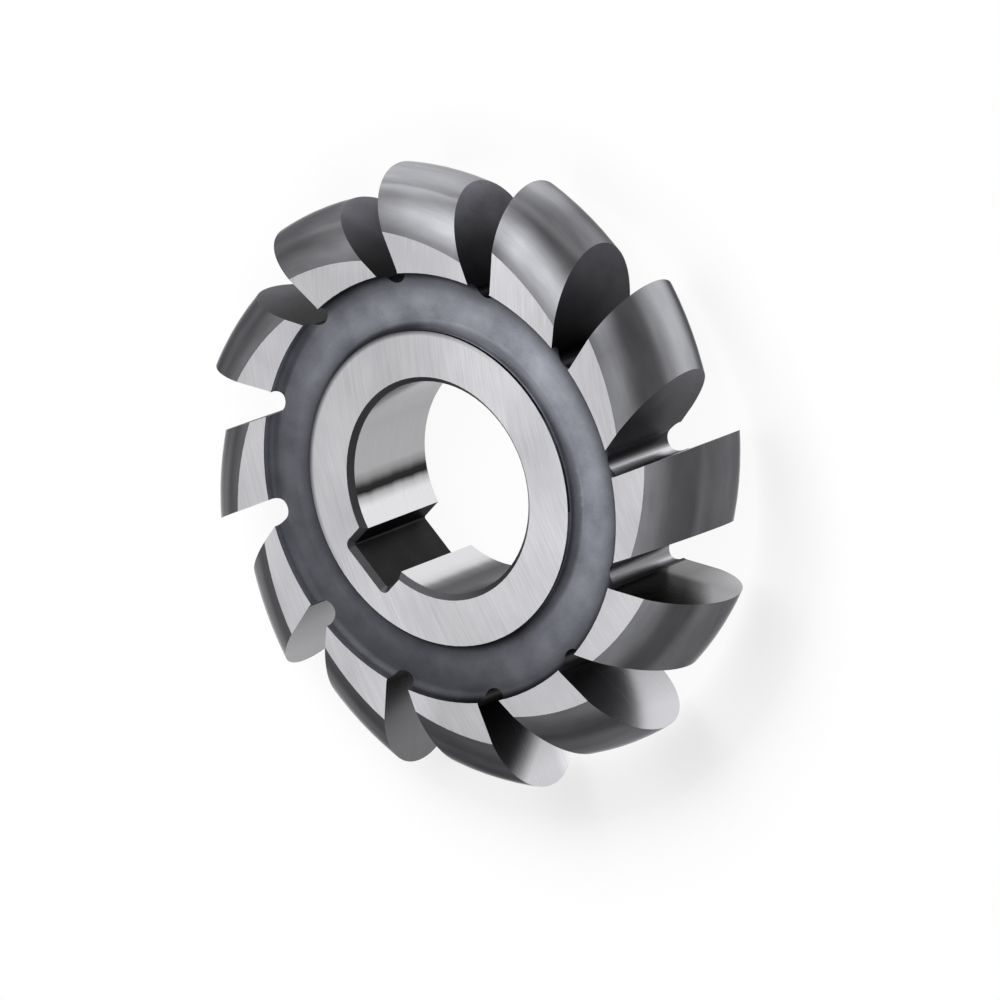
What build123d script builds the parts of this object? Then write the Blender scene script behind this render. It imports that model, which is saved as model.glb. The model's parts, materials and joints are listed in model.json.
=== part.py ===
from build123d import *
import math
import os

# Convex radius milling cutter: a disc with a plain bore, a keyway and relieved
# half-round teeth, made in one piece. It lies on one side face, with its axis
# upright on Z. The origin is on the axis, at the lower face, and the keyway
# points along +X. Lengths are in millimetres and angles in degrees.

# Driving sizes
cutter_diameter = 80.0       # over the tips of the teeth
form_radius = 8.0            # the half-round form that the teeth cut
side_grind = 0.08            # ground off each side of the full form
bore_diameter = 27.0
bore_chamfer = 0.7
keyway_width = 7.0
keyway_depth = 2.8           # from the bore's wall, at the keyway's middle, to its floor
keyway_corner_radius = 0.3

# Teeth and the gullets between them
tooth_count = 12
rake_angle = 9.0             # the cutting face leans back from a radius by this much
tooth_thickness = 10.4       # along the tip circle's tangent, from cutting edge to heel
relief_fall = 4.4            # radial fall of the form over one pitch, behind the cutting edge
gullet_angle = 27.9          # between a heel and the next cutting face
gullet_root_radius = 1.6
tooth_lag = 0.42             # the teeth are turned this far clockwise from the keyway

# Recess round the hub, on both faces
hub_diameter = 40.0
recess_diameter = 54.6
recess_depth = 1.7
recess_corner_radius = 1.2

# Values that follow from the driving sizes
tip_radius = cutter_diameter / 2
half_width = form_radius - side_grind
cutter_width = 2 * half_width
bore_radius = bore_diameter / 2
keyway_reach = bore_radius + keyway_depth
pitch_angle = 360.0 / tooth_count
beyond_tips = 1.5 * tip_radius
relief_offset = relief_fall / math.radians(pitch_angle)
relieved_radius = math.hypot(tip_radius, relief_offset)


def meeting_point(point_a, angle_a, point_b, angle_b):
    """Where the line through point_a at angle_a crosses the line through point_b at angle_b."""
    ax, ay = math.cos(math.radians(angle_a)), math.sin(math.radians(angle_a))
    bx, by = math.cos(math.radians(angle_b)), math.sin(math.radians(angle_b))
    dx, dy = point_b[0] - point_a[0], point_b[1] - point_a[1]
    along = (dx * by - dy * bx) / (ax * by - ay * bx)
    return (point_a[0] + along * ax, point_a[1] + along * ay)


def along_line(point, angle, distance):
    """The point at a distance from another, in the direction of angle."""
    turn = math.radians(angle)
    return (point[0] + distance * math.cos(turn), point[1] + distance * math.sin(turn))


def turned(point, angle):
    """A point turned about the cutter's axis."""
    turn = math.radians(angle)
    x, y = point
    return (x * math.cos(turn) - y * math.sin(turn), x * math.sin(turn) + y * math.cos(turn))


def gullet_lines():
    """The V between this tooth's heel and the next tooth's cutting face.

    This tooth has its tip on the X axis, and the next one lies clockwise of it.
    The result is the V's bottom, and the directions of its two sides.
    """
    tip = (tip_radius, 0.0)
    heel = along_line(tip, rake_angle - 90.0, tooth_thickness)
    next_tip = turned(tip, -pitch_angle)
    next_face_angle = rake_angle - pitch_angle
    heel_angle = next_face_angle + gullet_angle
    bottom = meeting_point(heel, heel_angle, next_tip, next_face_angle)
    return bottom, heel_angle, next_face_angle


def gullet():
    """One gullet, cut right through, with its rounded root."""
    bottom, heel_angle, face_angle = gullet_lines()
    heel_end = along_line(bottom, heel_angle, beyond_tips)
    face_end = along_line(bottom, face_angle, beyond_tips)
    outline = make_face(Polyline(bottom, face_end, heel_end, close=True))
    root = outline.vertices().sort_by_distance((*bottom, 0.0))[0]
    outline = fillet(root, gullet_root_radius)
    return extrude(outline, cutter_width)


def relieved_form():
    """A disc with the half-round rim, centred off the cutter's axis.

    The offset makes the rim fall away behind the cutting edge, which is the
    relief. The rim passes through the tip on the X axis.
    """
    rim_centre = relieved_radius - form_radius
    rim_start = rim_centre + math.sqrt(form_radius**2 - half_width**2)
    low, high = -half_width, half_width
    rim = ThreePointArc((rim_start, 0, low), (relieved_radius, 0, 0), (rim_start, 0, high))
    sides = Polyline((rim_start, 0, high), (0, 0, high), (0, 0, low), (rim_start, 0, low))
    disc = revolve(make_face(rim + sides), Axis.Z)
    return Pos(0, relief_offset, half_width) * disc


def pitch_prism():
    """The share of the cutter that belongs to one tooth, from mid gullet to mid gullet."""
    bottom, heel_angle, face_angle = gullet_lines()
    middle_angle = (heel_angle + face_angle) / 2
    root_distance = gullet_root_radius / math.sin(math.radians(gullet_angle / 2))
    root_centre = along_line(bottom, middle_angle, root_distance)
    mouth = along_line(root_centre, middle_angle, beyond_tips)
    outline = Polyline(
        (0.0, 0.0),
        root_centre,
        mouth,
        turned(mouth, pitch_angle),
        turned(root_centre, pitch_angle),
        close=True,
    )
    return extrude(make_face(outline), cutter_width)


def tooth_sector(bore):
    """One tooth with its share of the disc."""
    sector = relieved_form() & pitch_prism()
    behind = gullet()
    ahead = behind.rotate(Axis.Z, pitch_angle)
    return sector - behind - ahead - bore


def toothed_disc():
    """All the teeth round the bore, joined into one body."""
    bore = Pos(0, 0, half_width) * Cylinder(bore_radius, 2 * cutter_width)
    sector = tooth_sector(bore)
    turns = [i * pitch_angle for i in range(1, tooth_count)]
    others = [sector.rotate(Axis.Z, turn) for turn in turns]
    return sector.fuse(*others).clean()


def recess():
    """The ring-shaped recess in the lower face, with rounded floor corners."""
    inner, outer = hub_diameter / 2, recess_diameter / 2
    middle = (inner + outer) / 2
    section = Pos(middle, 0) * Rectangle(outer - inner, 2 * recess_depth)
    floor_corners = section.vertices().group_by(Axis.Y)[-1]
    section = fillet(floor_corners, recess_corner_radius)
    return revolve(Plane.XZ * section, Axis.Z)


def keyway():
    """The keyway, from the bore's axis out to its floor along +X."""
    outline = Pos(keyway_reach / 2, 0) * Rectangle(keyway_reach, keyway_width)
    floor_corners = outline.vertices().group_by(Axis.X)[-1]
    outline = fillet(floor_corners, keyway_corner_radius)
    return extrude(outline, cutter_width)


def mouth_edges(body):
    """The edges of the bore and keyway in the two side faces."""
    levels = body.faces().filter_by(Axis.Z).group_by(Axis.Z)
    lower_hub = levels[0].sort_by_distance((0, 0, 0))[0]
    upper_hub = levels[-1].sort_by_distance((0, 0, cutter_width))[0]
    return lower_hub.inner_wires()[0].edges() + upper_hub.inner_wires()[0].edges()


def cutter():
    body = toothed_disc().rotate(Axis.Z, -tooth_lag) - keyway()
    lower_recess = recess()
    upper_recess = Pos(0, 0, cutter_width) * lower_recess.mirror(Plane.XY)
    body = body - lower_recess - upper_recess
    return chamfer(mouth_edges(body), bore_chamfer)


os.makedirs("parts", exist_ok=True)
export_step(cutter(), "parts/cutter.step")
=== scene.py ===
import json
import math

import bpy
from mathutils import Matrix, Vector


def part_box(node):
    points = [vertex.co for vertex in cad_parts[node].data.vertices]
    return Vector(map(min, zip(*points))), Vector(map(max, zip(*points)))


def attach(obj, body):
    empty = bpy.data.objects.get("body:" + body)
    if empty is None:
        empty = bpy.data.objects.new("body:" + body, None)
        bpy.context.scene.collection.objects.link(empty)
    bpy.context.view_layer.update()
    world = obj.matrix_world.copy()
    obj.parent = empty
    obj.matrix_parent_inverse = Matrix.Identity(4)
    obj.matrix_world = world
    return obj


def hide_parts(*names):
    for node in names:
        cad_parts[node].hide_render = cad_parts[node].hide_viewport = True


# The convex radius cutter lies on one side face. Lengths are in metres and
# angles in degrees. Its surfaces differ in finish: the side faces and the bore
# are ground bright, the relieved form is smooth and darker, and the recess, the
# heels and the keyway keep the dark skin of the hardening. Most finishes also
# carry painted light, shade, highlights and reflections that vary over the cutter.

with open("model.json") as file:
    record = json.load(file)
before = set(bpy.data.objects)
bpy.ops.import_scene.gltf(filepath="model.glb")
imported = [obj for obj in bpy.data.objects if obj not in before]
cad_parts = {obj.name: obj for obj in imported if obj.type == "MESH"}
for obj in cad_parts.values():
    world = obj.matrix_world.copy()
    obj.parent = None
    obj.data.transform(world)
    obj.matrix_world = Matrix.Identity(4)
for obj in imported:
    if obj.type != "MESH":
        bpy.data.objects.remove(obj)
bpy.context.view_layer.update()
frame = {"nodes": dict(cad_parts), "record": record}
solid = frame["nodes"]["cutter"]

MM = 0.001

# Sizes of the solid
low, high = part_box("cutter")
half_width = (high.z - low.z) / 2
mid_height = (high.z + low.z) / 2
bore_mount = next(m for m in frame["record"]["mounts"] if m["name"] == "bore")
bore_radius = bore_mount["dims"]["r_mm"] * MM
form_radius = 8.0 * MM
hub_radius = 20.0 * MM
recess_radius = 27.3 * MM
root_reach = 28.5 * MM          # the gullets' rounded roots lie within this radius
keyway_half_width = 3.5 * MM
touch = 0.02 * MM               # two surfaces this near count as touching


# The camera stands where the photograph was taken from
camera_target = Vector((-0.535, 4.51, 7.87)) * MM
camera_azimuth = 158.82
camera_elevation = 50.12
camera_distance = 1151.46 * MM
camera_roll = 110.83
camera_lens = 334.2
camera_sensor = 36.0
camera_reach = 20.0


def direction(azimuth, elevation):
    """The unit vector towards an azimuth, counted from +X, and an elevation."""
    turn, lift = math.radians(azimuth), math.radians(elevation)
    level = math.cos(lift)
    return Vector((level * math.cos(turn), level * math.sin(turn), math.sin(lift)))


def add_camera():
    back = direction(camera_azimuth, camera_elevation)
    level_up = (Vector((0, 0, 1)) - back * back.z).normalized()
    level_right = level_up.cross(back)
    roll = math.radians(camera_roll)
    up = level_up * math.cos(roll) + level_right * math.sin(roll)
    right = up.cross(back)
    data = bpy.data.cameras.new("camera")
    data.lens = camera_lens
    data.sensor_width = camera_sensor
    data.clip_end = camera_reach
    camera = bpy.data.objects.new("camera", data)
    turned = Matrix((right, up, back)).transposed().to_4x4()
    camera.matrix_world = Matrix.Translation(camera_target + back * camera_distance) @ turned
    bpy.context.scene.collection.objects.link(camera)
    bpy.context.scene.camera = camera


# Node helpers

colour_inputs = (6, 7)          # the places of a Mix node's two colours among its inputs
colour_output = 2
bluer = 1.02                    # how much more blue than red and green a grey has


def add_node(tree, kind, settings=None, **inputs):
    """A new node. Inputs are given by name, with _ for a space, as values or as sockets."""
    node = tree.nodes.new(kind)
    for key, value in (settings or {}).items():
        setattr(node, key, value)
    for key, value in inputs.items():
        socket = node.inputs[key.replace("_", " ")]
        if isinstance(value, bpy.types.NodeSocket):
            tree.links.new(value, socket)
        else:
            socket.default_value = value
    return node


def calculate(tree, operation, *values):
    """The result of a Math node on one to three values or sockets."""
    node = tree.nodes.new("ShaderNodeMath")
    node.operation = operation
    for socket, value in zip(node.inputs, values):
        if isinstance(value, bpy.types.NodeSocket):
            tree.links.new(value, socket)
        else:
            socket.default_value = value
    return node.outputs[0]


def plus(tree, first, second):
    return calculate(tree, "ADD", first, second)


def minus(tree, first, second):
    return calculate(tree, "SUBTRACT", first, second)


def times(tree, first, second):
    return calculate(tree, "MULTIPLY", first, second)


def blend(tree, first, second, share):
    """The mean of two values, in which the first has the given share."""
    return plus(tree, times(tree, first, share), times(tree, second, 1.0 - share))


def object_place(tree):
    """The sockets x, y and z of the place on the cutter, in millimetres from its middle."""
    place = tree.nodes.new("ShaderNodeTexCoord").outputs["Object"]
    moved = add_node(tree, "ShaderNodeVectorMath", {"operation": "SUBTRACT"})
    tree.links.new(place, moved.inputs[0])
    moved.inputs[1].default_value = (0.0, 0.0, mid_height)
    scaled = add_node(tree, "ShaderNodeVectorMath", {"operation": "SCALE"}, Scale=1 / MM)
    tree.links.new(moved.outputs[0], scaled.inputs[0])
    return add_node(tree, "ShaderNodeSeparateXYZ", Vector=scaled.outputs[0]).outputs


def noise(tree, place, scales, detail=2.0, roughness=0.5):
    """Noise between 0 and 1 at a place of three sockets or values, each times its own scale."""
    x, y, z = (times(tree, value, scale) for value, scale in zip(place, scales))
    point = add_node(tree, "ShaderNodeCombineXYZ", X=x, Y=y, Z=z)
    made = add_node(tree, "ShaderNodeTexNoise", Vector=point.outputs[0], Scale=1.0,
                    Detail=detail, Roughness=roughness)
    return made.outputs["Fac"]


def fine_noise(tree, place, scales):
    """Noise with more detail, for the lines that grinding leaves."""
    return noise(tree, place, scales, 4.0, 0.6)


def spread(tree, value, low_out, high_out, low_in=0.3, high_in=0.7):
    """A value mapped from one range to another, and held inside it.

    The range that it is mapped from is where noise mostly lies, unless another is given.
    """
    made = add_node(tree, "ShaderNodeMapRange", {"clamp": True}, Value=value)
    made.inputs["From Min"].default_value = low_in
    made.inputs["From Max"].default_value = high_in
    made.inputs["To Min"].default_value = low_out
    made.inputs["To Max"].default_value = high_out
    return made.outputs["Result"]


def tinted(tree, value, dark, light):
    """A colour between two, by a value from 0 to 1."""
    mix = add_node(tree, "ShaderNodeMix", {"data_type": "RGBA"})
    tree.links.new(value, mix.inputs["Factor"])
    for place, colour in zip(colour_inputs, (dark, light)):
        mix.inputs[place].default_value = (*colour, 1.0)
    return mix.outputs[colour_output]


def ramp(tree, value, stops):
    """A grey that follows a value through stops, each a place on its scale and a brightness."""
    first, last = stops[0][0], stops[-1][0]
    made = tree.nodes.new("ShaderNodeValToRGB")
    tree.links.new(spread(tree, value, 0.0, 1.0, first, last), made.inputs["Fac"])
    points = made.color_ramp.elements
    while len(points) < len(stops):
        points.new(0.5)
    for point, (place, grey) in zip(points, stops):
        point.position = (place - first) / (last - first)
        point.color = (grey, grey, grey * bluer, 1.0)
    return made.outputs["Color"]


def shaded(tree, colour, share):
    """A colour times a grey or a value."""
    settings = {"data_type": "RGBA", "blend_type": "MULTIPLY"}
    mix = add_node(tree, "ShaderNodeMix", settings, Factor=1.0)
    for place, socket in zip(colour_inputs, (colour, share)):
        tree.links.new(socket, mix.inputs[place])
    return mix.outputs[colour_output]


def chosen(tree, condition, first, second):
    """The first value where a condition is 0, and the second where it is 1."""
    mix = add_node(tree, "ShaderNodeMix", Factor=condition)
    tree.links.new(first, mix.inputs["A"])
    tree.links.new(second, mix.inputs["B"])
    return mix.outputs["Result"]


def new_finish(name, metallic):
    """A material with one metallic shader, and its node tree."""
    material = bpy.data.materials.new(name)
    material.use_nodes = True
    shader = material.node_tree.nodes["Principled BSDF"]
    shader.inputs["Metallic"].default_value = metallic
    return material, material.node_tree, shader


def add_bump(tree, shader, height, depth):
    """Bump on a shader, from a height between 0 and 1 that stands for a depth in metres."""
    bump = add_node(tree, "ShaderNodeBump", Height=height, Strength=1.0, Distance=depth)
    tree.links.new(bump.outputs[0], shader.inputs["Normal"])


def polar(tree, x, y):
    """The radius, and the place on a unit circle."""
    radius = calculate(tree, "SQRT", plus(tree, times(tree, x, x), times(tree, y, y)))
    return radius, calculate(tree, "DIVIDE", x, radius), calculate(tree, "DIVIDE", y, radius)


def azimuth_of(tree, x, y):
    """A place's azimuth in degrees, from -180 to 180."""
    return calculate(tree, "DEGREES", calculate(tree, "ARCTAN2", y, x))


def facing(tree, x, y, azimuth):
    """How near a place's own azimuth is to another: 1 where they are the same, -1 where opposite."""
    _, along_x, along_y = polar(tree, x, y)
    side = direction(azimuth, 0.0)
    return plus(tree, times(tree, along_x, side.x), times(tree, along_y, side.y))


# The finishes
#
# Most of their values are lists of stops for ramp, by azimuth unless their comment says
# otherwise, and with lengths in millimetres. A height is counted from the middle of the width.
# A value with four numbers is mapped by spread: to the first two, from the range of the last two.

# Azimuths round the cutter: towards the first, painted light makes it lightest; the second sets
# where the recess's walls carry painted light and its painted dark edge lines are thinnest
painted_light_side = 202.0
painted_wall_side = 155.0

# The ground side faces: the arcs' middle, the scales of lines and clouds, and two tones
wheel_centre = (-70.0, 35.0)
arc_scales = (9.0, 12.0, 12.0)
side_cloud_scales = (0.12, 0.12, 1.0)
side_dark = (0.48, 0.476, 0.50)
side_light = (0.70, 0.695, 0.72)

# Painted light and shade on the hub and on the teeth, by azimuth, and the radius that parts the two
painted_hub_shading = ((-180.0, 1.08), (-165.0, 1.14), (-150.0, 1.06), (-135.0, 0.93), (-115.0, 0.83),
             (-90.0, 0.86), (-50.0, 0.91), (-25.0, 0.9), (0.0, 1.02), (22.0, 1.03), (50.0, 0.92),
             (80.0, 1.0), (112.0, 1.12), (140.0, 1.07), (158.0, 0.99), (180.0, 1.08))
painted_land_shading = ((-180.0, 0.96), (-174.0, 0.96), (-165.0, 1.12), (-150.0, 1.12), (-140.0, 0.9),
              (-118.0, 0.9), (-108.0, 0.84), (-88.0, 0.84), (-78.0, 0.9), (-28.0, 0.93),
              (12.0, 0.94), (20.0, 1.0), (36.0, 1.0), (44.0, 0.82), (62.0, 0.82), (74.0, 0.9),
              (92.0, 0.9), (104.0, 0.98), (180.0, 0.96))
between_sides = 23.7

# The hub's edge has a painted dark shade line round one azimuth, by the radius
painted_shade_edge_side = 275.0
painted_shade_edge_share = (0.0, 1.0, 0.1, 0.8)
painted_hub_edge_shade = ((19.4, 0.0), (19.55, 0.25), (19.7, 0.5), (19.85, 0.72), (20.0, 0.8))


def ground_side():
    """Side faces of hub and teeth: ground flat, with fine arcs left by the wheel, under painted light
    and shade.
    """
    material, tree, shader = new_finish("ground_side", 0.8)
    x, y, z = object_place(tree)
    wheel_x = minus(tree, x, wheel_centre[0])
    wheel_y = minus(tree, y, wheel_centre[1])
    lines = fine_noise(tree, polar(tree, wheel_x, wheel_y), arc_scales)
    clouds = noise(tree, (x, y, z), side_cloud_scales)
    tone = blend(tree, lines, clouds, 0.6)
    colour = tinted(tree, spread(tree, tone, 0.0, 1.0), side_dark, side_light)
    radius, _, _ = polar(tree, x, y)
    azimuth = azimuth_of(tree, x, y)
    on_tooth = calculate(tree, "GREATER_THAN", radius, between_sides)
    # side is painted light and shade by azimuth
    side = chosen(tree, on_tooth, ramp(tree, azimuth, painted_hub_shading), ramp(tree, azimuth, painted_land_shading))
    # edge is a painted shade line at the hub's edge
    near_edge = spread(tree, facing(tree, x, y, painted_shade_edge_side), *painted_shade_edge_share)
    edge = times(tree, ramp(tree, radius, painted_hub_edge_shade), near_edge)
    edge = times(tree, edge, calculate(tree, "LESS_THAN", radius, between_sides))
    colour = shaded(tree, shaded(tree, colour, side), minus(tree, 1.0, edge))
    tree.links.new(colour, shader.inputs["Base Color"])
    tree.links.new(spread(tree, lines, 0.36, 0.46), shader.inputs["Roughness"])
    add_bump(tree, shader, lines, 0.0012 * MM)
    return material


# Painted reflections in bands along the bore wall: a dark streak on one side, a bright band on both
# sides of the keyway, and a darker stretch. They wander a little along the bore.
painted_bore_reflections = ((-180.0, 0.6), (-96.0, 0.76), (-86.0, 0.56), (-72.0, 0.44), (-45.0, 0.42),
              (-40.5, 0.26), (-37.0, 0.03), (-33.5, 0.02), (-30.8, 0.45), (-26.0, 0.80),
              (24.0, 0.82), (28.5, 0.74), (33.0, 0.25), (39.0, 0.12), (62.0, 0.10), (85.0, 0.36),
              (120.0, 0.5), (180.0, 0.6))
bore_wander = (-1.5, 1.5, 0.0, 1.0)
wander_scales = (0.0, 0.0, 0.3)
bore_scales = (3.0, 3.0, 9.0)
bore_edge = (0.57, 0.57, 0.58)  # how bright it is where it is seen at a low angle


def ground_bore():
    """Bore wall: ground round, smoother than the sides, with painted reflections in bands round it.
    """
    material, tree, shader = new_finish("ground_bore", 1.0)
    x, y, z = object_place(tree)
    _, along_x, along_y = polar(tree, x, y)
    lines = fine_noise(tree, (along_x, along_y, z), bore_scales)
    wander = spread(tree, noise(tree, (x, y, z), wander_scales), *bore_wander)
    # painted reflections by azimuth
    painted_reflections = ramp(tree, plus(tree, azimuth_of(tree, x, y), wander), painted_bore_reflections)
    colour = shaded(tree, painted_reflections, spread(tree, lines, 0.95, 1.05))
    tree.links.new(colour, shader.inputs["Base Color"])
    tree.links.new(spread(tree, lines, 0.16, 0.22), shader.inputs["Roughness"])
    add_bump(tree, shader, lines, 0.0006 * MM)
    shader.inputs["Specular Tint"].default_value = (*bore_edge, 1.0)
    return material


# The relieved form: the scales of its bands and lines, and two tones
band_scales = (0.55, 5.0, 5.0)
line_scales = (7.0, 5.0, 5.0)
form_dark = (0.145, 0.146, 0.156)
form_light = (0.20, 0.201, 0.212)

# The crowns of the teeth on one side of the cutter carry a painted highlight, a band with its own
# height, here plus lift_zero because a stop can't be negative, which fades by the distance from it.
painted_highlight_tones = ((-180.0, 1.6), (-176.0, 1.6), (-168.0, 0.4), (-160.0, 0.4), (-155.0, 1.3),
               (-146.0, 2.0), (-138.0, 1.15), (-118.0, 1.6), (-105.0, 0.0), (150.0, 0.0),
               (162.0, 1.35), (180.0, 1.6))
painted_highlight_lifts = ((-180.0, 2.8), (-168.0, 1.7), (-157.0, 1.9), (-152.0, 2.5), (-145.0, 2.5),
               (-137.0, 4.3), (-118.0, 5.4), (-105.0, 3.0), (180.0, 2.8))
lift_zero = 3.0
painted_highlight_heights = ((0.0, 1.0), (1.5, 0.9), (2.8, 0.35), (4.0, 0.0))

# Beside the painted highlight some teeth have painted shade, by azimuth and by height
painted_valley_shade = ((-180.0, 1.0), (-172.0, 0.0), (-104.0, 0.0), (-98.0, 0.8), (-60.0, 0.8),
                (-52.0, 0.0), (60.0, 0.0), (70.0, 0.8), (92.0, 0.8), (100.0, 0.0), (154.0, 0.0),
                (162.0, 1.0), (180.0, 1.0))
painted_valley_shade_heights = ((-5.0, 0.7), (-3.6, 0.6), (-2.2, 0.4), (-1.2, 0.0), (4.0, 0.0), (5.0, 0.18),
                  (6.2, 0.16), (7.2, 0.0))

# Some have painted shade above their middle, by azimuth and by height
painted_crest_shade = ((-180.0, 0.5), (-158.0, 0.6), (-150.0, 0.0), (98.0, 0.0), (104.0, 0.5),
               (122.0, 0.5), (132.0, 1.0), (152.0, 1.0), (162.0, 0.5), (180.0, 0.5))
painted_crest_shade_heights = ((-1.4, 0.0), (0.0, 0.12), (1.0, 0.26), (2.4, 0.38), (3.4, 0.32), (4.4, 0.12),
                 (5.2, 0.0))

# Some have painted shade near their sides, by azimuth and by the distance from the middle
painted_end_shade = ((-180.0, 0.45), (-172.0, 0.0), (-157.0, 0.0), (-153.0, 1.0), (-146.0, 1.0),
             (-142.0, 0.0), (-130.0, 0.0), (-124.0, 0.7), (-115.0, 0.7), (-110.0, 0.0),
             (168.0, 0.0), (173.0, 0.8), (180.0, 0.45))
painted_end_shade_heights = ((4.6, 0.0), (5.6, 0.22), (7.2, 0.26), (7.9, 0.35))

# Painted light and shade: the form is brighter towards the lit side, and its edges are brighter away
# from it and a little darker towards it
painted_form_light = (0.42, 1.12, -1.0, 1.0)
painted_rim_light_heights = (0.0, 0.75, 6.8, 7.8)
painted_rim_light_share = (1.1, -0.2, -0.2, 0.9)

# Painted shade on the form's reflection where it is seen at a low angle, by azimuth
painted_grazing_shade = ((-180.0, 0.35), (-142.0, 0.42), (-136.0, 0.75), (-116.0, 0.8), (-106.0, 0.45),
              (-60.0, 0.42), (-35.0, 0.75), (5.0, 0.93), (28.0, 0.58), (55.0, 0.38), (85.0, 0.7),
              (110.0, 0.62), (140.0, 0.48), (180.0, 0.35))


def painted_form_shading(tree, x, y, z):
    """The painted highlights and painted shade on the form, as a factor on its colour."""
    azimuth = azimuth_of(tree, x, y)
    from_middle = calculate(tree, "ABSOLUTE", z)
    # crown is a painted highlight band, at a height and strength by azimuth
    lift = minus(tree, ramp(tree, azimuth, painted_highlight_lifts), lift_zero)
    off_crown = calculate(tree, "ABSOLUTE", minus(tree, z, lift))
    crown = times(tree, ramp(tree, off_crown, painted_highlight_heights), ramp(tree, azimuth, painted_highlight_tones))
    # rim is painted light and shade on the form's edges
    rim = times(tree, spread(tree, from_middle, *painted_rim_light_heights),
                spread(tree, facing(tree, x, y, painted_light_side), *painted_rim_light_share))
    # painted shade beside the highlight, above the middle and near the sides, on some teeth
    painted_shade = 0.0
    for place, heights, tones in ((z, painted_valley_shade_heights, painted_valley_shade), (z, painted_crest_shade_heights, painted_crest_shade),
                                  (from_middle, painted_end_shade_heights, painted_end_shade)):
        painted_shade = plus(tree, painted_shade, times(tree, ramp(tree, place, heights), ramp(tree, azimuth, tones)))
    return plus(tree, minus(tree, plus(tree, crown, rim), painted_shade), 1.0)


def relieved_form():
    """Relieved backs of the teeth, with faint bands left along the relief, under painted highlights
    and shade.
    """
    material, tree, shader = new_finish("relieved_form", 1.0)
    x, y, z = object_place(tree)
    across = calculate(tree, "ARCSINE", calculate(tree, "DIVIDE", z, form_radius / MM))
    profile = times(tree, across, form_radius / MM)
    _, along_x, along_y = polar(tree, x, y)
    place = (profile, along_x, along_y)
    tone = blend(tree, noise(tree, place, band_scales), fine_noise(tree, place, line_scales), 0.7)
    colour = tinted(tree, spread(tree, tone, 0.0, 1.0), form_dark, form_light)
    # skin is painted light, brighter towards the lit side
    skin = spread(tree, facing(tree, x, y, painted_light_side), *painted_form_light)
    colour = shaded(tree, shaded(tree, colour, skin), painted_form_shading(tree, x, y, z))
    tree.links.new(colour, shader.inputs["Base Color"])
    edge = ramp(tree, azimuth_of(tree, x, y), painted_grazing_shade)
    tree.links.new(edge, shader.inputs["Specular Tint"])
    tree.links.new(spread(tree, tone, 0.13, 0.20), shader.inputs["Roughness"])
    add_bump(tree, shader, tone, 0.002 * MM)
    return material


# The cutting faces: the scales of their lines, and their grey by the radius, darkened towards the
# roots by painted shade
face_scales = (4.0, 4.0, 8.0)
face_grey_and_root_shade = ((27.0, 0.12), (32.0, 0.38), (37.0, 0.54))

# Painted light and shade on them by azimuth, and how much further out the painted shade of their
# roots reaches
painted_face_shading = ((-180.0, 1.0), (-25.0, 1.0), (0.0, 0.52), (30.0, 0.31), (60.0, 1.3), (90.0, 1.25),
              (120.0, 0.66), (150.0, 1.0), (180.0, 1.0))
painted_root_shade_reach = ((-180.0, 0.0), (30.0, 0.0), (60.0, 1.3), (90.0, 0.0), (120.0, 4.6), (150.0, 0.0),
              (180.0, 0.0))

# Two of them have painted shade above a height, inside a line that slants outwards as it rises,
# and painted light near the lower side. slant_starts has the line's radius at the middle height,
# and slant_tones the tone by the distance outwards from the line.
slant_faces = ((-180.0, 0.0), (45.0, 0.0), (52.0, 1.0), (68.0, 1.0), (75.0, 0.0), (105.0, 0.0),
               (112.0, 1.0), (132.0, 1.0), (138.0, 0.0), (180.0, 0.0))
slant_starts = ((-180.0, 33.5), (75.0, 33.5), (105.0, 35.2), (180.0, 35.2))
slant = 0.7                     # how far outwards the line goes for each unit that it rises
slant_tones = ((-2.4, 0.22), (0.0, 0.48), (2.0, 1.0))
slant_heights = (0.0, 1.0, -3.0, -1.5)
lower_light = (0.7, 0.0, -7.0, -2.5)
edge_share = 0.45               # the share of this change that brightness at a low angle takes


def ground_cutting_face():
    """Cutting faces: ground across the tooth, bright, under painted light and shade."""
    material, tree, shader = new_finish("ground_cutting_face", 1.0)
    x, y, z = object_place(tree)
    radius, along_x, along_y = polar(tree, x, y)
    lines = fine_noise(tree, (along_x, along_y, z), face_scales)
    azimuth = azimuth_of(tree, x, y)
    # painted shade darkens the faces towards their roots
    ground = ramp(tree, minus(tree, radius, ramp(tree, azimuth, painted_root_shade_reach)), face_grey_and_root_shade)
    colour = shaded(tree, ground, spread(tree, lines, 0.93, 1.07))
    colour = shaded(tree, colour, ramp(tree, azimuth, painted_face_shading))
    # painted shade and painted light on two of the faces
    outwards = minus(tree, minus(tree, radius, ramp(tree, azimuth, slant_starts)),
                     times(tree, z, slant))
    upper = times(tree, minus(tree, ramp(tree, outwards, slant_tones), 1.0),
                  spread(tree, z, *slant_heights))
    change = times(tree, plus(tree, upper, spread(tree, z, *lower_light)),
                   ramp(tree, azimuth, slant_faces))
    colour = shaded(tree, colour, plus(tree, 1.0, change))
    edge = calculate(tree, "MINIMUM", plus(tree, 1.0, times(tree, change, edge_share)), 1.0)
    tree.links.new(edge, shader.inputs["Specular Tint"])
    tree.links.new(colour, shader.inputs["Base Color"])
    tree.links.new(spread(tree, lines, 0.2, 0.28), shader.inputs["Roughness"])
    add_bump(tree, shader, lines, 0.0001 * MM)
    return material


skin_cloud_scales = (0.25, 0.25, 0.25)
speck_scales = (5.0, 5.0, 5.0)


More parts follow.
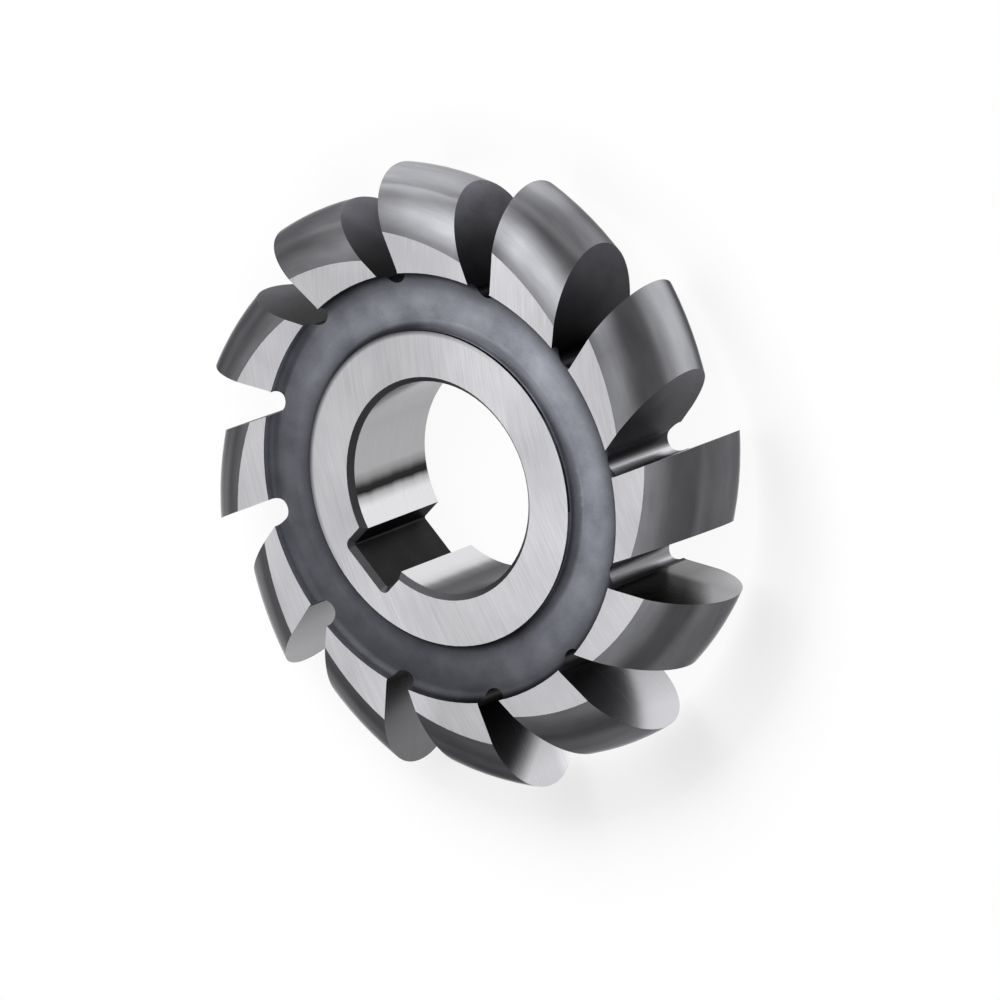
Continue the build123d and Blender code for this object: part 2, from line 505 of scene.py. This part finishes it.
def dark_skin(name, dark, light, rough, grain, depth=None, edge=1.0):
    """The dark skin that hardening leaves, in two tones and with a fine grain.

    rough holds the lowest and highest roughness. depth, where it is given, makes the sockets of
    painted light and shade that the colour is multiplied by. edge is how bright the skin is where it
    is seen at a low angle.
    """
    material, tree, shader = new_finish(name, 0.9)
    x, y, z = object_place(tree)
    clouds = noise(tree, (x, y, z), skin_cloud_scales, 3.0)
    specks = noise(tree, (x, y, z), speck_scales, 3.0, 0.6)
    tone = blend(tree, clouds, specks, 0.6)
    colour = tinted(tree, spread(tree, tone, 0.0, 1.0), dark, light)
    # painted light and shade factors
    for share in depth(tree, x, y, z) if depth else ():
        colour = shaded(tree, colour, share)
    tree.links.new(colour, shader.inputs["Base Color"])
    tree.links.new(spread(tree, specks, *rough), shader.inputs["Roughness"])
    add_bump(tree, shader, specks, grain)
    shader.inputs["Specular Tint"].default_value = (edge, edge, edge, 1.0)
    return material


# Painted shade and light in the recess: dark lines by the distance from its edges, and, where its
# walls show, light and shade by the depth below the side face. The rim's wall has this skin from
# its upper edge, which is painted bright, and the hub's from where the rounded corner starts: its
# upright part has the roots' finish.
painted_recess_edge_shade = ((0.0, 0.12), (0.3, 0.25), (0.8, 0.6), (1.5, 0.85), (2.2, 1.0))
painted_hub_wall_shading = ((0.36, 4.0), (0.53, 1.9), (0.7, 0.85), (0.9, 0.5), (1.3, 0.62), (1.45, 0.56),
            (1.62, 0.48), (1.69, 0.72), (1.7, 1.0))
painted_rim_wall_shading = ((0.0, 3.8), (0.45, 4.5), (0.65, 3.6), (0.85, 2.1), (1.3, 1.15), (1.45, 0.75),
            (1.63, 0.5), (1.69, 0.65), (1.7, 0.95))

# Where a wall shows, its edge has no painted dark line, and where it is hidden the painted line is
# wider
wall_shown = (0.0, 1.0, 0.2, 0.7)
line_gone = 2.0
line_wider = (1.0, 0.0, -1.0, 0.0)

# The corner at the hub has painted shade round one azimuth, by the distance from the hub
painted_shade_corner = 230.0
painted_corner_shade_share = (0.0, 0.5, 0.4, 0.85)
painted_hub_corner_shade = ((0.15, 0.0), (0.35, 1.0), (0.65, 1.0), (1.1, 0.0))

# The rim's side of the recess has painted shade in places, by azimuth and by the distance from the
# rim
painted_rim_side_shade = ((-180.0, 0.75), (-168.0, 0.6), (-152.0, 1.0), (-100.0, 1.0), (-85.0, 0.5),
             (-65.0, 0.0), (-10.0, 0.0), (10.0, 0.5), (90.0, 0.6), (105.0, 0.3), (135.0, 0.3),
             (150.0, 0.8), (180.0, 0.75))
painted_rim_corner_shade = ((0.0, 0.4), (1.8, 0.4), (2.8, 0.22), (4.0, 0.0))

# Painted light and shade on the whole recess, by azimuth
painted_ring_shading = ((-180.0, 1.24), (-165.0, 1.22), (-150.0, 1.0), (-100.0, 1.0), (-85.0, 0.9),
              (-50.0, 0.84), (-30.0, 0.93), (-8.0, 1.12), (15.0, 1.2), (30.0, 0.98), (45.0, 0.9),
              (65.0, 1.15), (95.0, 1.3), (125.0, 1.28), (145.0, 1.2), (180.0, 1.24))
painted_ring_light = (0.5, 1.7, -1.0, 1.0)


def painted_recess_shading(tree, x, y, z):
    """Painted shade and light in the recess: dark lines at both edges, painted light on walls that
    show on one side, and a lighter side.
    """
    radius, _, _ = polar(tree, x, y)
    from_hub = minus(tree, radius, hub_radius / MM)
    from_rim = minus(tree, recess_radius / MM, radius)
    outer = calculate(tree, "GREATER_THAN", from_hub, from_rim)
    turned = minus(tree, 1.0, times(tree, outer, 2.0))
    side = times(tree, facing(tree, x, y, painted_wall_side), turned)
    shown = spread(tree, side, *wall_shown)
    nearest = calculate(tree, "MINIMUM", from_hub, from_rim)
    away = minus(tree, plus(tree, nearest, times(tree, shown, line_gone)),
                 spread(tree, side, *line_wider))
    below = minus(tree, half_width / MM, calculate(tree, "ABSOLUTE", z))
    walls = chosen(tree, outer, ramp(tree, below, painted_hub_wall_shading), ramp(tree, below, painted_rim_wall_shading))
    wall = times(tree, minus(tree, walls, 1.0), shown)
    azimuth = azimuth_of(tree, x, y)
    painted_shade = times(tree, ramp(tree, from_hub, painted_hub_corner_shade),
                 spread(tree, facing(tree, x, y, painted_shade_corner), *painted_corner_shade_share))
    painted_rim_shade = times(tree, ramp(tree, from_rim, painted_rim_corner_shade), ramp(tree, azimuth, painted_rim_side_shade))
    # factors of painted light and shade on the recess colour
    return (ramp(tree, away, painted_recess_edge_shade), plus(tree, 1.0, wall), minus(tree, 1.0, painted_shade),
            minus(tree, 1.0, painted_rim_shade), ramp(tree, azimuth, painted_ring_shading),
            spread(tree, facing(tree, x, y, painted_light_side), *painted_ring_light))


def recess_skin():
    return dark_skin("recess_skin", (0.105, 0.11, 0.123), (0.215, 0.22, 0.24),
                     rough=(0.42, 0.55), grain=0.004 * MM, depth=painted_recess_shading)


# Painted shade on the heels, darker towards the roots by their radius, and with more contrast
# round one azimuth
painted_heel_shade = ((27.0, 0.6), (31.0, 0.95), (39.0, 2.1))
painted_heel_contrast = ((28.0, 0.4), (31.0, 0.8), (34.0, 1.6), (38.0, 2.9))
contrast_side = 250.0
contrast_share = (0.0, 1.0, 0.62, 0.85)

# Painted light and shade on them by azimuth
painted_heel_sides = ((-180.0, 0.93), (-147.0, 0.93), (-140.0, 0.85), (-95.0, 0.85), (-85.0, 0.65),
              (-30.0, 0.65), (-20.0, 1.0), (118.0, 1.0), (126.0, 1.35), (180.0, 1.35))


def painted_heel_shading(tree, x, y, z):
    """Painted shade: the skin is darkest at the roots of the gullets, with painted light and shade
    round the cutter.
    """
    radius, _, _ = polar(tree, x, y)
    near = spread(tree, facing(tree, x, y, contrast_side), *contrast_share)
    more = minus(tree, ramp(tree, radius, painted_heel_contrast), 1.0)
    # painted shade towards the roots, and painted light and shade round the cutter
    return (ramp(tree, radius, painted_heel_shade), plus(tree, 1.0, times(tree, more, near)),
            ramp(tree, azimuth_of(tree, x, y), painted_heel_sides))


def heel_skin():
    return dark_skin("heel_skin", (0.028, 0.028, 0.030), (0.055, 0.055, 0.06),
                     rough=(0.35, 0.5), grain=0.003 * MM, depth=painted_heel_shading, edge=0.7)


# Painted light and shade on the roots of the gullets, and, in the two brightest, a painted
# highlight across the root by the azimuth that its surface faces. between_roots parts those two,
# and is a step in tone on the upright part of the hub's wall, which has this finish too.
painted_root_sides = ((-180.0, 0.04), (-30.0, 0.04), (-10.0, 0.15), (95.0, 0.15), (110.0, 1.0),
              (160.0, 1.0), (170.0, 0.04), (180.0, 0.04))
between_roots = 134.0
painted_upper_root_highlight = ((97.0, 0.4), (109.0, 0.18), (145.0, 0.17), (157.0, 0.34), (169.0, 1.23),
              (180.0, 2.9), (193.0, 2.9), (205.0, 2.0), (217.0, 1.18), (229.0, 0.62),
              (241.0, 0.45), (249.0, 0.44))
painted_lower_root_highlight = ((103.0, 0.86), (115.0, 0.5), (127.0, 1.0), (151.0, 0.83), (163.0, 1.18),
              (175.0, 2.3), (187.0, 0.73), (199.0, 0.19), (211.0, 0.29), (219.0, 0.5))


def painted_root_shading(tree, x, y, z):
    """Painted highlight on the roots on one side of the cutter, along a line, and painted shade
    elsewhere.
    """
    normal = tree.nodes.new("ShaderNodeTexCoord").outputs["Normal"]
    faced = add_node(tree, "ShaderNodeSeparateXYZ", Vector=normal).outputs
    across = calculate(tree, "WRAP", azimuth_of(tree, faced["X"], faced["Y"]), 360.0, 0.0)
    azimuth = azimuth_of(tree, x, y)
    upper = calculate(tree, "GREATER_THAN", azimuth, between_roots)
    # painted highlight across the root
    line = chosen(tree, upper, ramp(tree, across, painted_lower_root_highlight), ramp(tree, across, painted_upper_root_highlight))
    return line, ramp(tree, azimuth, painted_root_sides)


def root_skin():
    return dark_skin("root_skin", (0.31, 0.31, 0.32), (0.35, 0.35, 0.36),
                     rough=(0.3, 0.36), grain=0.0002 * MM, depth=painted_root_shading, edge=0.4)


def keyway_skin():
    return dark_skin("keyway_skin", (0.024, 0.024, 0.025), (0.045, 0.045, 0.046),
                     rough=(0.4, 0.55), grain=0.003 * MM, edge=0.4)


def mouth_skin():
    return dark_skin("mouth_skin", (0.05, 0.05, 0.055), (0.08, 0.08, 0.085),
                     rough=(0.35, 0.45), grain=0.002 * MM)


# Which finish each face of the solid has. A face's normal is judged by its upward part, and by
# its part away from the axis.
level = 0.999                   # the upward part of a level face is above this
sloping = 0.1                   # that of a chamfer is above this
plumb = 0.001                   # that of an upright face is below this
bore_inward = -0.99             # the outward part of the bore's wall is below this
wall_inward = -0.9              # that of the recess's outer wall is below this
form_outward = 0.8              # that of a cutting face or heel is below this


def finish_of(face, corners):
    """The name of the finish on a face, from where it lies and how it is turned."""
    centre, normal = face.center, face.normal
    radius = math.hypot(centre.x, centre.y)
    depth = half_width - abs(centre.z - mid_height)
    outward = (normal.x * centre.x + normal.y * centre.y) / radius
    ahead = (normal.y * centre.x - normal.x * centre.y) / radius
    if abs(normal.z) > level and depth < touch:
        return "ground_side"
    if radius < hub_radius - touch:
        if abs(normal.z) > sloping:
            return "mouth_skin"
        beside_key = centre.x > 0 and abs(centre.y) < keyway_half_width + touch
        in_keyway = beside_key and outward > bore_inward
        return "keyway_skin" if in_keyway or radius > bore_radius + touch else "ground_bore"
    gullet_wall = abs(normal.z) < plumb and outward > wall_inward
    if gullet_wall and all(math.hypot(p.x, p.y) < root_reach for p in corners):
        # the gullets' roots, and the upright part of the hub's wall
        return "root_skin"
    if radius < recess_radius + touch and not gullet_wall:
        return "recess_skin"
    if abs(normal.z) < plumb and outward < form_outward:
        return "ground_cutting_face" if ahead > 0 else "heel_skin"
    return "relieved_form"


def dressed_cutter():
    """A copy of the solid's mesh, with a finish on each of its surfaces."""
    finishes = [ground_side(), ground_bore(), relieved_form(), ground_cutting_face(),
                recess_skin(), heel_skin(), root_skin(), keyway_skin(), mouth_skin()]
    places = {finish.name: i for i, finish in enumerate(finishes)}
    mesh = solid.data.copy()
    mesh.name = "dressed_cutter"
    mesh.materials.clear()
    for finish in finishes:
        mesh.materials.append(finish)
    for face in mesh.polygons:
        corners = [mesh.vertices[i].co for i in face.vertices]
        face.material_index = places[finish_of(face, corners)]
    piece = bpy.data.objects.new("dressed_cutter", mesh)
    bpy.context.scene.collection.objects.link(piece)
    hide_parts("cutter")
    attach(piece, "root")


# Floor and light

floor_reach = 4.0
floor_colour = (0.90, 0.90, 0.90)

# The share of plain white in the floor, where it is seen, against its lit colour, at distances
# from the cutter's axis. It is low beside the cutter, where the floor takes the shadow.
plain_shares = ((0.0, 0.93), (37.0 * MM, 0.93), (46.0 * MM, 0.25), (75.0 * MM, 1.0))

# Soft lights round the cutter: azimuth, elevation, radius of the full light, radius where
# it ends, and how much it adds
surround = 0.45
sweep_top = 12.0                # the elevation up to which the white floor's sweep shows, fading
soft_lights = (
    (243.0, 56.0, 4.0, 47.0, 3.00),
    (251.0, 5.0, 2.0, 50.0, 1.15),
    (33.0, 70.0, 9.0, 45.0, 0.42),
    (298.0, 57.0, 22.0, 47.0, 0.28),
)


def seen_directly(tree):
    """1 for what the camera sees, straight, in a reflection or through glass, and 0 for light."""
    rays = tree.nodes.new("ShaderNodeLightPath").outputs
    either = calculate(tree, "MAXIMUM", rays["Is Camera Ray"], rays["Is Glossy Ray"])
    return calculate(tree, "MAXIMUM", either, rays["Is Transmission Ray"])


def add_floor():
    """A plain floor, white but for the soft shadow of the cutter."""
    material = bpy.data.materials.new("floor")
    material.use_nodes = True
    tree = material.node_tree
    tree.nodes.clear()
    lit = add_node(tree, "ShaderNodeBsdfDiffuse", Color=(*floor_colour, 1.0))
    plain = add_node(tree, "ShaderNodeEmission", Color=(1.0, 1.0, 1.0, 1.0), Strength=1.0)
    place = tree.nodes.new("ShaderNodeTexCoord").outputs["Object"]
    away = add_node(tree, "ShaderNodeVectorMath", {"operation": "LENGTH"})
    tree.links.new(place, away.inputs[0])
    share = times(tree, seen_directly(tree), ramp(tree, away.outputs["Value"], plain_shares))
    mix = add_node(tree, "ShaderNodeMixShader", Fac=share)
    tree.links.new(lit.outputs[0], mix.inputs[1])
    tree.links.new(plain.outputs[0], mix.inputs[2])
    out = add_node(tree, "ShaderNodeOutputMaterial")
    tree.links.new(mix.outputs[0], out.inputs["Surface"])
    mesh = bpy.data.meshes.new("floor")
    corners = [(x * floor_reach, y * floor_reach, 0) for x, y in ((-1, -1), (1, -1), (1, 1), (-1, 1))]
    mesh.from_pydata(corners, [], [(0, 1, 2, 3)])
    mesh.materials.append(material)
    floor = bpy.data.objects.new("floor", mesh)
    bpy.context.scene.collection.objects.link(floor)


def add_surroundings():
    """A plain room with soft lights."""
    world = bpy.data.worlds.new("surroundings")
    world.use_nodes = True
    tree = world.node_tree
    tree.nodes.clear()
    looking = tree.nodes.new("ShaderNodeTexCoord").outputs["Generated"]
    height = add_node(tree, "ShaderNodeSeparateXYZ", Vector=looking).outputs["Z"]
    sweep_height = math.sin(math.radians(sweep_top))
    strength = plus(tree, spread(tree, height, 1.0 - surround, 0.0, 0.0, sweep_height), surround)
    for azimuth, elevation, inner, outer, added in soft_lights:
        towards = add_node(tree, "ShaderNodeVectorMath", {"operation": "DOT_PRODUCT"})
        tree.links.new(looking, towards.inputs[0])
        towards.inputs[1].default_value = direction(azimuth, elevation)
        away = calculate(tree, "ARCCOSINE", towards.outputs["Value"])
        glow = add_node(tree, "ShaderNodeMapRange", {"interpolation_type": "SMOOTHSTEP"}, Value=away)
        glow.inputs["From Min"].default_value = math.radians(outer)
        glow.inputs["From Max"].default_value = math.radians(inner)
        glow.inputs["To Min"].default_value = 0.0
        glow.inputs["To Max"].default_value = added
        strength = plus(tree, glow.outputs["Result"], strength)
    room = add_node(tree, "ShaderNodeBackground", Color=(1.0, 1.0, 1.0, 1.0), Strength=strength)
    out = add_node(tree, "ShaderNodeOutputWorld")
    tree.links.new(room.outputs[0], out.inputs["Surface"])
    bpy.context.scene.world = world


dressed_cutter()
add_floor()
add_surroundings()
add_camera()
bpy.context.scene.view_settings.view_transform = "Standard"
